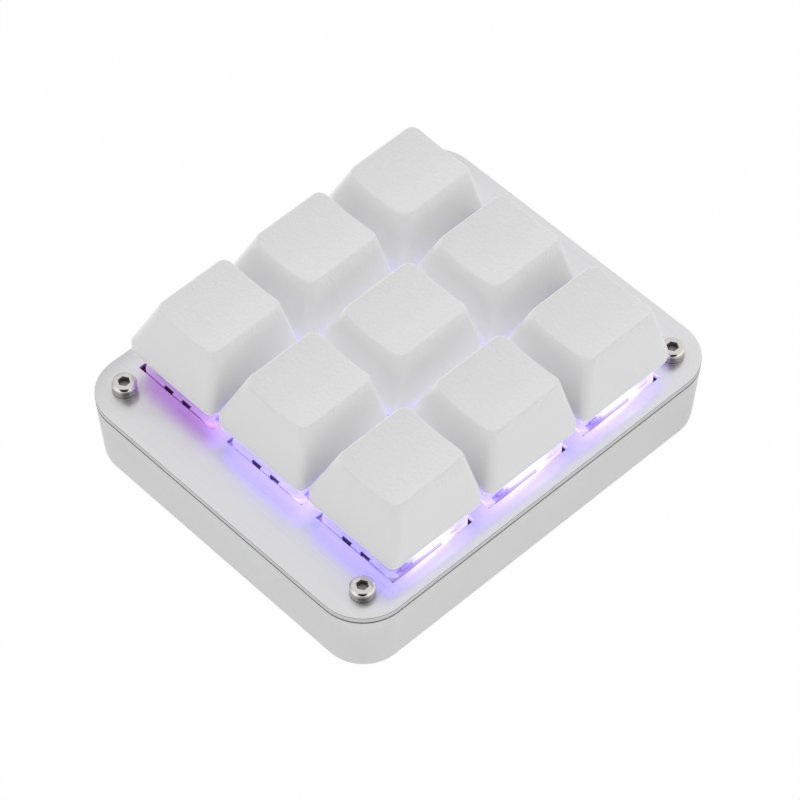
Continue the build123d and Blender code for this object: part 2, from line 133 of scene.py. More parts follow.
class CapSizes(bpy.types.PropertyGroup):
    """Shape of a keycap above its base outline."""

    top_width: FloatProperty(
        name="Top width", description="Top face from left to right, before its edges are rounded",
        default=12.7 * MM, unit="LENGTH")
    top_depth: FloatProperty(
        name="Top depth", description="Top face from front to back, before its edges are rounded",
        default=13.6 * MM, unit="LENGTH")
    top_setback: FloatProperty(
        name="Setback", description="How far the top face sits behind the middle of the base",
        default=1.3 * MM, unit="LENGTH")
    height: FloatProperty(
        name="Height", description="Base to the middle of the top face's plane",
        default=9.25 * MM, unit="LENGTH")
    skirt: FloatProperty(
        name="Skirt", description="Height of the upright band at the base",
        default=2.1 * MM, unit="LENGTH")
    knee: FloatProperty(
        name="Knee", description="Reach of the rounding between the skirt and the leaning walls",
        default=1.3 * MM, unit="LENGTH")
    tilt: FloatProperty(
        name="Tilt", description="Lean of the top face, higher at the back",
        default=math.radians(1.0), unit="ROTATION")
    dish: FloatProperty(
        name="Dish", description="Depth of the hollow along the top face",
        default=0.6 * MM, unit="LENGTH")
    edge: FloatProperty(
        name="Upright edges", description="Rounding of the four upright edges",
        default=1.4 * MM, unit="LENGTH")
    foot: FloatProperty(
        name="Foot", description="Rounding round the outside of the base",
        default=0.2 * MM, unit="LENGTH")
    rim: FloatProperty(
        name="Rim", description="Rounding round the top face",
        default=0.23 * MM, unit="LENGTH")
    wall: FloatProperty(
        name="Wall", description="Wall thickness at the base",
        default=1.3 * MM, unit="LENGTH")
    ceiling: FloatProperty(
        name="Ceiling", description="Top face's plane to the ceiling inside",
        default=2.1 * MM, unit="LENGTH")
    post: FloatProperty(
        name="Post", description="Diameter of the post that takes the stem",
        default=5.5 * MM, unit="LENGTH")
    strips: IntProperty(
        name="Strips", description="Strips across the hollow of the top face",
        default=24, min=4)


class ShellSizes(bpy.types.PropertyGroup):
    """Shape of the tray, the cover plate and its screws."""

    corner: FloatProperty(
        name="Corner radius", description="Rounding of the plate's and tray's upright corners",
        default=7.4 * MM, unit="LENGTH")
    draft: FloatProperty(
        name="Draft", description="How far each wall leans in at the bottom of the tray",
        default=0.82 * MM, unit="LENGTH")
    wall: FloatProperty(
        name="Wall", description="Thickness of the tray's walls at its rim",
        default=2.82 * MM, unit="LENGTH")
    floor: FloatProperty(
        name="Floor", description="Thickness of the tray's floor",
        default=2.0 * MM, unit="LENGTH")
    tray_edge: FloatProperty(
        name="Bottom edge", description="Rounding of the tray's bottom edge",
        default=0.5 * MM, unit="LENGTH")
    rim_edge: FloatProperty(
        name="Rim edge", description="Rounding of the tray's rim under the plate",
        default=0.25 * MM, unit="LENGTH")
    plate_edge: FloatProperty(
        name="Plate edge", description="Broken edge round the plate and its openings",
        default=0.12 * MM, unit="LENGTH")
    opening: FloatProperty(
        name="Opening", description="Side of the plate's square openings",
        default=16.0 * MM, unit="LENGTH")
    head: FloatProperty(
        name="Screw head", description="Diameter of the cover screws' heads",
        default=3.8 * MM, unit="LENGTH")
    head_edge: FloatProperty(
        name="Screw head edge", description="Chamfer round the head's top edge",
        default=0.3 * MM, unit="LENGTH")
    socket: FloatProperty(
        name="Hex socket", description="Width across flats of the screws' sockets",
        default=1.5 * MM, unit="LENGTH")
    socket_depth: FloatProperty(
        name="Socket depth", description="Depth of the screws' sockets",
        default=1.0 * MM, unit="LENGTH")
    mouth: FloatProperty(
        name="Socket mouth", description="Chamfer round the mouth of the screws' sockets",
        default=0.1 * MM, unit="LENGTH")
    shank: FloatProperty(
        name="Shank", description="Diameter of the screws' shanks",
        default=2.0 * MM, unit="LENGTH")
    post: FloatProperty(
        name="Posts", description="Diameter of the tray's screw posts and board supports",
        default=5.0 * MM, unit="LENGTH")
    window_gap: FloatProperty(
        name="Window gap", description="Space round the inlet's shell in the tray's back wall",
        default=0.22 * MM, unit="LENGTH")
    foot: FloatProperty(
        name="Feet", description="Diameter of the rubber feet",
        default=8.0 * MM, unit="LENGTH")
    foot_gap: FloatProperty(
        name="Foot gap", description="Space round each foot in its recess",
        default=0.1 * MM, unit="LENGTH")


class SpringSizes(bpy.types.PropertyGroup):
    """Wire and winding of the return springs."""

    wire: FloatProperty(
        name="Wire", description="Diameter of the spring wire",
        default=0.3 * MM, unit="LENGTH")
    turns: IntProperty(
        name="Turns", description="Turns of wire in each spring",
        default=11, min=1)
    steps: IntProperty(
        name="Steps", description="Straight runs of wire in each turn",
        default=32, min=8)
    sides: IntProperty(
        name="Sides", description="Sides of the wire's round section",
        default=10, min=4)


class FinishColours(bpy.types.PropertyGroup):
    """Colours of the finishes, and the colours and strength of the light under the caps."""

    cap: FloatVectorProperty(
        name="Keycap", description="Matte white of the caps",
        default=(0.83, 0.83, 0.83), subtype="COLOR", min=0, max=1)
    plate: FloatVectorProperty(
        name="Plate", description="Brushed metal of the cover plate",
        default=(0.79, 0.79, 0.795), subtype="COLOR", min=0, max=1)
    tray: FloatVectorProperty(
        name="Tray", description="Fine blasted silver of the tray",
        default=(0.69, 0.69, 0.69), subtype="COLOR", min=0, max=1)
    screw: FloatVectorProperty(
        name="Screws", description="Polished nickel of the screws",
        default=(0.7, 0.685, 0.65), subtype="COLOR", min=0, max=1)
    glow_pink: FloatVectorProperty(
        name="Pink glow", description="Light at the front left key",
        default=(0.15, 0.0, 0.23), subtype="COLOR", min=0, max=1)
    glow_blue: FloatVectorProperty(
        name="Blue glow", description="Light at the other keys",
        default=(0.3, 0.23, 0.98), subtype="COLOR", min=0, max=1)
    glow_lavender: FloatVectorProperty(
        name="Lavender glow", description="Light along the right-hand side of each key",
        default=(0.55, 0.45, 0.95), subtype="COLOR", min=0, max=1)
    glow_rose: FloatVectorProperty(
        name="Rose glow", description="Light along the right-hand side of the front left key",
        default=(0.5, 0.15, 0.65), subtype="COLOR", min=0, max=1)
    glow_white: FloatVectorProperty(
        name="White glow", description="Light at the middle of each key's right-hand side",
        default=(1.0, 0.97, 1.0), subtype="COLOR", min=0, max=1)
    glow_clip_shade: FloatVectorProperty(
        name="Clip glow", description="Light in the clip and the groove on each right-hand side",
        default=(0.42, 0.28, 0.78), subtype="COLOR", min=0, max=1)
    glow_dim: FloatVectorProperty(
        name="Dim glow", description="Light at the keypad's front right corner",
        default=(0.02, 0.02, 0.06), subtype="COLOR", min=0, max=1)
    dim_share: FloatProperty(
        name="Dim share", description="How far the light fades at the front right corner",
        default=0.6, min=0, max=1, subtype="FACTOR")
    glow_strength: FloatProperty(
        name="Glow", description="Strength of the light in the clear housings",
        default=1.2, min=0)
    inside_share: FloatProperty(
        name="Cap share", description="Glow inside the caps as a share of the housings' glow",
        default=0.55, min=0, max=1, subtype="FACTOR")
    flange_share: FloatProperty(
        name="Flange share", description="Glow of the flanges as a share of the housings' glow",
        default=0.4, min=0, max=1, subtype="FACTOR")
    gap_glow: FloatProperty(
        name="Gap glow", description="Strength of the light that leaks up between the caps",
        default=0.158, min=0)
    foot_glow: FloatProperty(
        name="Foot glow", description="Strength of the light that shows through the caps' feet",
        default=0.2, min=0)


class StageSettings(bpy.types.PropertyGroup):
    """Camera and studio light."""

    azimuth: FloatProperty(
        name="Azimuth", description="Camera's turn round the keypad, from its front to its right",
        default=math.radians(46.33), unit="ROTATION")
    elevation: FloatProperty(
        name="Elevation", description="Camera's height angle above the desk",
        default=math.radians(51.36), unit="ROTATION")
    distance: FloatProperty(
        name="Distance", description="Camera to the point it looks at",
        default=0.5764, unit="LENGTH")
    aim: FloatVectorProperty(
        name="Aim", description="Point on the plate's top that the camera looks at",
        default=(3.865 * MM, -3.539 * MM, 13.6 * MM), subtype="TRANSLATION")
    lens: FloatProperty(
        name="Lens", description="Focal length on a 36 mm frame",
        default=177.28, unit="CAMERA")
    near_high: FloatProperty(
        name="Near, high", description="Strength of the studio light high up on the camera's side",
        default=0.79, min=0)
    near_low: FloatProperty(
        name="Near, low", description="Strength of the studio light low down on the camera's side",
        default=1.75, min=0)
    far_high: FloatProperty(
        name="Far, high", description="Strength of the studio light high up on the far side",
        default=0.97, min=0)
    far_low: FloatProperty(
        name="Far, low", description="Strength of the studio light low down on the far side",
        default=0.8, min=0)
    left_share: FloatProperty(
        name="Left share", description="Light at the far left as a share of what it would be",
        default=0.5, min=0, max=1, subtype="FACTOR")
    patch_rise: FloatProperty(
        name="Dim patch", description="Height angle of the middle of the dim patch by the camera",
        default=math.radians(44), unit="ROTATION")
    floor_white: FloatProperty(
        name="Floor white", description="How far the floor is lifted to white where it is seen",
        default=0.97, min=0, max=1, subtype="FACTOR")
    softbox: FloatProperty(
        name="Softbox", description="Power of the softbox low down on the left",
        default=4.8, min=0, unit="POWER")
    softbox_size: FloatProperty(
        name="Softbox size", description="Diameter of the softbox",
        default=0.5, unit="LENGTH")
    softbox_place: FloatVectorProperty(
        name="Softbox place", description="Middle of the softbox, which faces the origin",
        default=(-1.116, 0.36, 0.264), subtype="TRANSLATION")


# Helpers for meshes


def upright_edges(bm):
    """Edges that run up and down."""
    return [e for e in bm.edges if abs((e.verts[0].co - e.verts[1].co).normalized().z) > 0.7]


def sharp_edges(bm, least=math.radians(35)):
    """Edges whose two faces meet at more than an angle."""
    return [e for e in bm.edges if len(e.link_faces) == 2 and e.calc_face_angle() > least]


def round_edges(bm, edges, radius, segments):
    """Rounds edges, or chamfers them where there is one segment."""
    bmesh.ops.bevel(bm, geom=edges, offset=radius, offset_type="OFFSET", affect="EDGES",
                    segments=segments, profile=0.5, material=-1, clamp_overlap=True)
    bm.normal_update()


def rounded_sheet(bm, low, high, radius, segments):
    """Flat face with rounded corners at the height of the high corner. Returns all faces."""
    corners = bmesh.ops.create_grid(bm, x_segments=1, y_segments=1, size=0.5)["verts"]
    size = Vector(high) - Vector(low)
    bmesh.ops.scale(bm, vec=(size.x, size.y, 1), verts=corners)
    middle = (Vector(high) + Vector(low)) / 2
    bmesh.ops.translate(bm, vec=(middle.x, middle.y, high[2]), verts=corners)
    bmesh.ops.bevel(bm, geom=corners, offset=radius, offset_type="OFFSET", affect="VERTICES",
                    segments=segments, profile=0.5, material=-1)
    bm.normal_update()
    return bm.faces[:]


def extrude_faces(bm, faces):
    """Extrudes faces in place and takes the old ones away. Returns the new vertices."""
    raised = bmesh.ops.extrude_face_region(bm, geom=faces)["geom"]
    bmesh.ops.delete(bm, geom=[f for f in faces if f.is_valid], context="FACES")
    return [v for v in raised if isinstance(v, bmesh.types.BMVert)]


def add_block(bm, low, high):
    """Box between two corners."""
    made = bmesh.ops.create_cube(bm, size=1.0)["verts"]
    bmesh.ops.scale(bm, vec=Vector(high) - Vector(low), verts=made)
    bmesh.ops.translate(bm, vec=(Vector(high) + Vector(low)) / 2, verts=made)


def add_rod(bm, radius, low, high, centre, segments=48):
    """Upright round rod between two heights. Returns its vertices."""
    made = bmesh.ops.create_cone(bm, cap_ends=True, segments=segments, radius1=radius,
                                 radius2=radius, depth=high - low)["verts"]
    bmesh.ops.translate(bm, vec=(centre.x, centre.y, (low + high) / 2), verts=made)
    return made


def finish_piece(bm, name, materials, body, nodes):
    """Makes the mesh an object that rides on a body and stands for CAD nodes."""
    bmesh.ops.recalc_face_normals(bm, faces=bm.faces)
    mesh = bpy.data.meshes.new(name)
    bm.to_mesh(mesh)
    bm.free()
    for material in materials:
        mesh.materials.append(material)
    for polygon in mesh.polygons:
        polygon.use_smooth = True
    mesh.set_sharp_from_angle(angle=SMOOTH)
    piece = bpy.data.objects.new(name, mesh)
    bpy.context.collection.objects.link(piece)
    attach(piece, body)
    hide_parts(*nodes)
    return piece


def cut_away(piece, cutter):
    """Takes the space of a closed mesh out of a finished piece."""
    tool_mesh = bpy.data.meshes.new("cutter")
    cutter.to_mesh(tool_mesh)
    cutter.free()
    tool = bpy.data.objects.new("cutter", tool_mesh)
    bpy.context.collection.objects.link(tool)
    cut = piece.modifiers.new("cut", "BOOLEAN")
    cut.operation = "DIFFERENCE"
    cut.solver = "EXACT"
    cut.object = tool
    plain = piece.data
    evaluated = piece.evaluated_get(bpy.context.evaluated_depsgraph_get())
    shaped = bpy.data.meshes.new_from_object(evaluated)
    piece.modifiers.clear()
    piece.data = shaped
    for mesh in (plain, tool_mesh):
        bpy.data.meshes.remove(mesh)
    shaped.name = piece.name
    shaped.set_sharp_from_angle(angle=SMOOTH)


def four_corners(x, y):
    """Four points at plus and minus each of two distances."""
    return [Vector((side_x * x, side_y * y, 0)) for side_x in (-1, 1) for side_y in (-1, 1)]


def dress_node(node, material):
    """Gives a CAD node's object a finish in place of its plain one."""
    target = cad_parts[node]
    if not target.material_slots:
        target.data.materials.append(material)
    for place in target.material_slots:
        place.material = material


# Helpers for materials


def shader_of(material):
    """A material's node tree and its principled shader."""
    return material.node_tree, material.node_tree.nodes["Principled BSDF"]


def new_material(name, **values):
    """Material with one principled shader. Values are set on that shader's own sockets."""
    material = bpy.data.materials.new(name)
    material.use_nodes = True
    tree, shader = shader_of(material)
    for socket, value in values.items():
        shader.inputs[socket.replace("_", " ")].default_value = value
    return material, tree, shader


def feed(tree, shader, **sources):
    """Links sockets to a shader's inputs, which are given by name."""
    for socket, source in sources.items():
        tree.links.new(source, shader.inputs[socket.replace("_", " ")])


def add_node(tree, kind, **values):
    """Shader node with its settings, and its sockets by name, set."""
    node = tree.nodes.new("ShaderNode" + kind)
    for key, value in values.items():
        if key in node.bl_rna.properties:
            setattr(node, key, value)
        else:
            node.inputs[key.replace("_", " ")].default_value = value
    return node


def object_place(tree, stretch=(1, 1, 1)):
    """Object coordinates in millimetres, multiplied by a number on each axis."""
    coordinates = add_node(tree, "TexCoord")
    mapping = add_node(tree, "Mapping", Scale=[s / MM for s in stretch])
    tree.links.new(coordinates.outputs["Object"], mapping.inputs["Vector"])
    return mapping.outputs["Vector"]


def noise(tree, place, scale=1.0, detail=2.0, roughness=0.5):
    """Noise from 0 to 1 by place."""
    texture = add_node(tree, "TexNoise", Scale=scale, Detail=detail, Roughness=roughness)
    tree.links.new(place, texture.inputs["Vector"])
    return texture.outputs["Fac"]


def spread(tree, value, low, high, start=0.3, end=0.7):
    """A value from start to end, mapped to low to high."""
    mapped = add_node(tree, "MapRange", From_Min=start, From_Max=end, To_Min=low, To_Max=high)
    tree.links.new(value, mapped.inputs["Value"])
    return mapped.outputs["Result"]


def combine(tree, operation, *values):
    """Result of a Math node on sockets or plain numbers."""
    node = add_node(tree, "Math", operation=operation)
    for socket, value in zip(node.inputs, values):
        if isinstance(value, bpy.types.NodeSocket):
            tree.links.new(value, socket)
        else:
            socket.default_value = value
    return node.outputs[0]


def between(tree, value, low, high, soft):
    """One where a value lies between two numbers, and zero outside them."""
    rise = spread(tree, value, 0.0, 1.0, low - soft, low + soft)
    fall = spread(tree, value, 1.0, 0.0, high - soft, high + soft)
    return combine(tree, "MULTIPLY", rise, fall)


def blend_colours(tree, factor, low, high):
    """Colour between two, each a plain colour or a socket, by a factor."""
    mix = add_node(tree, "Mix", data_type="RGBA")
    tree.links.new(factor, mix.inputs["Factor"])
    for socket, colour in zip([s for s in mix.inputs if s.type == "RGBA"], (low, high)):
        if isinstance(colour, bpy.types.NodeSocket):
            tree.links.new(colour, socket)
        else:
            socket.default_value = (*colour, 1)
    return next(s for s in mix.outputs if s.type == "RGBA")


def tones(tree, factor, colour, dark, light=1.0):
    """Tones of one colour, from dark to light by a factor."""
    ends = ([c * tone for c in colour] for tone in (dark, light))
    return blend_colours(tree, factor, *ends)


def roughen(tree, shader, height, strength, depth=FINE_RELIEF):
    """Fine relief on a shader, from a height. Returns its node."""
    bump = add_node(tree, "Bump", Strength=strength, Distance=depth)
    tree.links.new(height, bump.inputs["Height"])
    feed(tree, shader, Normal=bump.outputs["Normal"])
    return bump


def key_place(tree):
    """Object coordinates, and how far a point is from the middle of its own key in X and in Y."""
    coordinates = add_node(tree, "TexCoord")
    place = add_node(tree, "SeparateXYZ")
    tree.links.new(coordinates.outputs["Object"], place.inputs["Vector"])
    in_key = [combine(tree, "WRAP", place.outputs[axis], PITCH / 2, -PITCH / 2) for axis in "XY"]
    return place.outputs, in_key


def by_height(tree, low, high, start, end):
    """Value that goes from low to high between two heights."""
    return spread(tree, key_place(tree)[0]["Z"], low, high, start, end)


def square_beyond(tree, value, reach):
    """Square of how far a value's size is beyond a reach."""
    over = combine(tree, "SUBTRACT", combine(tree, "ABSOLUTE", value), reach)
    over = combine(tree, "MAXIMUM", over, 0.0)
    return combine(tree, "MULTIPLY", over, over)


# Light under the caps


def glow_colour(tree, colours):
    """Light by place: pink at the front left and blue elsewhere, lavender to the right of each key.

    Gives the colour, the share of white at the middle of each right-hand side, and the share of
    painted shade that darkens the clip and groove there.
    """
    place, (beside, along) = key_place(tree)
    corner = combine(tree, "ADD", place["X"], place["Y"])
    elsewhere = spread(tree, corner, 0, 1, *FRONT_LEFT)
    left = blend_colours(tree, elsewhere, colours.glow_pink, colours.glow_blue)
    right = blend_colours(tree, elsewhere, colours.glow_rose, colours.glow_lavender)
    to_right = spread(tree, beside, 0, 1, *TO_RIGHT)
    hue = blend_colours(tree, to_right, left, right)
    front_right = combine(tree, "SUBTRACT", place["X"], place["Y"])
    dim = spread(tree, front_right, 0, colours.dim_share, *FRONT_RIGHT)
    hue = blend_colours(tree, dim, hue, colours.glow_dim)
    white = combine(tree, "MULTIPLY", to_right, between(tree, along, *WHITE_ALONG))
    hue = blend_colours(tree, white, hue, colours.glow_white)
    # The clip and the groove are painted darker, as the shade in those recesses.
    clip = combine(tree, "MULTIPLY", between(tree, along, *CLIP_ALONG),
                   between(tree, beside, *CLIP_BESIDE))
    groove = combine(tree, "MULTIPLY", between(tree, along, *GROOVE_ALONG),
                     between(tree, beside, *GROOVE_BESIDE))
    clip_shade = combine(tree, "MAXIMUM", clip, groove)
    return blend_colours(tree, clip_shade, hue, colours.glow_clip_shade), white, clip_shade


def light_between(tree, colours):
    """Strength of the light that leaks up between the caps and shows through their feet."""
    place = key_place(tree)[0]
    foot = by_height(tree, colours.foot_glow, 0.0, *FOOT_FADE)
    strength = by_height(tree, colours.gap_glow, 0.0, *GAP_FADE)
    for axis in "XY":
        away = combine(tree, "ABSOLUTE", place[axis])
        inner = spread(tree, away, 1.0, 0.0, *GAP_REACH)
        strength = combine(tree, "MULTIPLY", strength, inner)
    return combine(tree, "MAXIMUM", strength, foot)


def light_from_right(material, colours, least, most):
    """Lights a finish by the switch beside it, most to the right of each key."""
    tree, shader = shader_of(material)
    beside = key_place(tree)[1][0]
    feed(tree, shader, Emission_Color=glow_colour(tree, colours)[0],
         Emission_Strength=spread(tree, beside, least, most, *TO_RIGHT))
    return material


# Finishes


def cap_white(colours):
    """Fine spark-textured white moulding, a little cloudy, with more grain on its top."""
    material, tree, shader = new_material(
        "cap_white", Specular_IOR_Level=0.35, Emission_Color=WHITE)
    place = object_place(tree)
    cloud = noise(tree, place, scale=0.12, detail=3)
    grain = noise(tree, place, scale=1.9, roughness=0.6)
    # The emission paints the light that leaks up between the caps and shows through their feet.
    feed(tree, shader, Base_Color=tones(tree, cloud, colours.cap, 0.985, 1.015),
         Roughness=spread(tree, grain, 0.42, 0.6),
         Emission_Strength=light_between(tree, colours))
    relief = roughen(tree, shader, grain, 1.0, 0.12 * MM)
    feed(tree, relief, Strength=by_height(tree, 0.35, 1.0, *TOP_GRAIN))
    return material


def cap_inside(colours):
    """Inner faces of a cap: plain white moulding, lit by the switch below."""
    material, tree, shader = new_material(
        "cap_inside", Emission_Strength=colours.glow_strength * colours.inside_share)
    marks = noise(tree, object_place(tree), scale=0.8)
    feed(tree, shader, Base_Color=tones(tree, marks, colours.cap, 0.96),
         Roughness=spread(tree, marks, 0.35, 0.5),
         Emission_Color=glow_colour(tree, colours)[0])
    return material


def brushed_plate(colour):
    """Brushed metal with its grain along X."""
    material, tree, shader = new_material("brushed_plate", Metallic=0.8, Anisotropic=0.5)
    grain = noise(tree, object_place(tree, (0.05, 3.5, 1.0)), detail=5, roughness=0.7)
    tangent = add_node(tree, "Tangent", direction_type="UV_MAP", uv_map="grain")
    feed(tree, shader, Base_Color=tones(tree, grain, colour, 0.91, 1.08),
         Roughness=spread(tree, grain, 0.27, 0.37), Tangent=tangent.outputs["Tangent"])
    roughen(tree, shader, grain, 0.1)
    return material


def shaded_edge(name, colour, dark, light, rough):
    """Sheared edge of sheet or wall with fine lines along it, painted darker than its face as shade
    and dark reflection.
    """
    material, tree, shader = new_material(name, Metallic=1.0)
    lines = noise(tree, object_place(tree, (0.4, 0.4, 6.0)), detail=3)
    feed(tree, shader, Base_Color=tones(tree, lines, colour, dark, light),
         Roughness=spread(tree, lines, *rough))
    return material


def blasted_silver(colour):
    """Fine bead-blasted silver."""
    material, tree, shader = new_material("blasted_silver", Metallic=0.85)
    place = object_place(tree)
    grain = noise(tree, place, scale=5.0, roughness=0.6)
    cloud = noise(tree, place, scale=0.08)
    feed(tree, shader, Base_Color=tones(tree, cloud, colour, 0.97, 1.02),
         Roughness=spread(tree, grain, 0.5, 0.66))
    roughen(tree, shader, grain, 0.2)
    return material


def polished_nickel(colour):
    """Polished plated steel with fine turning marks round it."""
    material, tree, shader = new_material("polished_nickel", Metallic=1.0)
    marks = noise(tree, object_place(tree, (0.3, 0.3, 5.0)), detail=3)
    feed(tree, shader, Base_Color=tones(tree, marks, colour, 0.93),
         Roughness=spread(tree, marks, 0.05, 0.12))
    roughen(tree, shader, marks, 0.5, 0.08 * MM)
    return material


def turned_side_shading(colour):
    """Side of a screw head with turning lines: painted reflection gives a bright collar over a
    darker band, and painted shadow a dark foot.
    """
    material, tree, shader = new_material("turned_side_shading", Metallic=1.0)
    lines = noise(tree, object_place(tree, (0.2, 0.2, 7.0)), detail=3)
    # Painted shadow darkens the foot, and painted reflection brightens the collar.
    foot = by_height(tree, 0.1, 0.55, *SCREW_SHADOW_FOOT)
    collar = by_height(tree, 0.0, 1.0, *SCREW_SHEEN_COLLAR)
    tone = combine(tree, "MULTIPLY", combine(tree, "MAXIMUM", foot, collar),
                   spread(tree, lines, 0.75, 1.0))
    feed(tree, shader, Base_Color=tones(tree, tone, colour, 0.12),
         Roughness=spread(tree, lines, 0.06, 0.16))
    roughen(tree, shader, lines, 0.6, 0.1 * MM)
    return material


def socket_steel_shaded(colour, floor):
    """Satin steel inside a socket, with painted shade on its walls above a lighter floor."""
    material, tree, shader = new_material("socket_steel_shaded", Metallic=0.5)
    marks = noise(tree, object_place(tree, (1.0, 1.0, 4.0)), scale=2.0, detail=3)
    # Painted shade darkens the socket's walls above its floor.
    depth = by_height(tree, 0.95, 0.15, *(floor + above for above in SOCKET_FLOOR))
    tone = combine(tree, "MULTIPLY", depth, spread(tree, marks, 0.75, 1.0))
    feed(tree, shader, Base_Color=tones(tree, tone, colour, 0.1),
         Roughness=spread(tree, marks, 0.5, 0.65))
    return material


def clear_moulding(name, colours, whitest, **values):
    """Clear moulding lit from inside, with slight flow marks. Also gives the light's level."""
    material, tree, shader = new_material(name, **values)
    glow, white, clip_shade = glow_colour(tree, colours)
    flow = noise(tree, object_place(tree), scale=0.5)
    # The clip and the groove get a darker base colour: painted shade.
    feed(tree, shader, Base_Color=blend_colours(tree, clip_shade, CLEAR, CLEAR_CLIP_SHADE),
         Roughness=spread(tree, flow, 0.12, 0.26), Emission_Color=glow)
    level = combine(tree, "MULTIPLY", spread(tree, white, 1.0, whitest, 0.0, 1.0),
                    spread(tree, clip_shade, 1.0, 0.8, 0.0, 1.0))
    return material, tree, shader, level


def clear_top(colours):
    """Upper housing: painted glow, brighter above its clips."""
    material, tree, shader, level = clear_moulding("clear_top", colours, 2.3, Alpha=0.6)
    strength = colours.glow_strength
    glow = by_height(tree, 0.25 * strength, strength, *HOUSING_FADE)
    feed(tree, shader, Emission_Strength=combine(tree, "MULTIPLY", glow, level))
    return material


def clear_base(colours):
    """Lower housing: its flange glows with painted light, while its notches and most of its body
    are painted dark as shade.
    """
    material, tree, shader, level = clear_moulding("clear_base", colours, 1.3, Alpha=0.8)
    place, in_key = key_place(tree)
    top = spread(tree, place["Z"], 0.0, 1.0, *FLANGE_TOP)
    squares = [square_beyond(tree, value, FLANGE_FLAT) for value in in_key]
    out = combine(tree, "SQRT", combine(tree, "ADD", *squares))
    rim = spread(tree, out, 0.0, 1.8, *FLANGE_RIM)
    right = spread(tree, in_key[0], 0.12, 1.0, *TO_RIGHT)
    lit = combine(tree, "MAXIMUM", top, combine(tree, "MAXIMUM", rim, right))
    clear = shader.inputs["Base Color"].links[0].from_socket
    glow = combine(tree, "MULTIPLY", lit, colours.glow_strength * colours.flange_share)
    # Away from the lit flange, the base colour is painted dark as the shade under the plate.
    feed(tree, shader, Base_Color=blend_colours(tree, lit, CLEAR_SHADE, clear),
         Alpha=by_height(tree, 0.45, 0.85, *BODY_FADE),
         Emission_Strength=combine(tree, "MULTIPLY", glow, level))
    return material


def light_lens(colours):
    """Milky lens of a light."""
    material, tree, shader = new_material(
        "light_lens", Emission_Strength=colours.glow_strength * 3)
    haze = noise(tree, object_place(tree), scale=1.2)
    feed(tree, shader, Base_Color=blend_colours(tree, haze, (0.8, 0.8, 0.84), (0.88, 0.88, 0.9)),
         Roughness=spread(tree, haze, 0.25, 0.4), Emission_Color=glow_colour(tree, colours)[0])
    return material


def moulded(name, colour, rough=(0.4, 0.6), scale=2.5, strength=0.2):
    """Plain moulding with a fine grain."""
    material, tree, shader = new_material(name)
    grain = noise(tree, object_place(tree), scale=scale, detail=3)
    feed(tree, shader, Base_Color=tones(tree, grain, colour, 0.85, 1.1),
         Roughness=spread(tree, grain, *rough))
    roughen(tree, shader, grain, strength)
    return material


def drawn_metal(name, colour, rough, stretch):
    """Bright metal with fine drawing lines."""
    material, tree, shader = new_material(name, Metallic=1.0)
    lines = noise(tree, object_place(tree, stretch), detail=3)
    feed(tree, shader, Base_Color=tones(tree, lines, colour, 0.85),
         Roughness=spread(tree, lines, *rough))
    return material


# Pieces


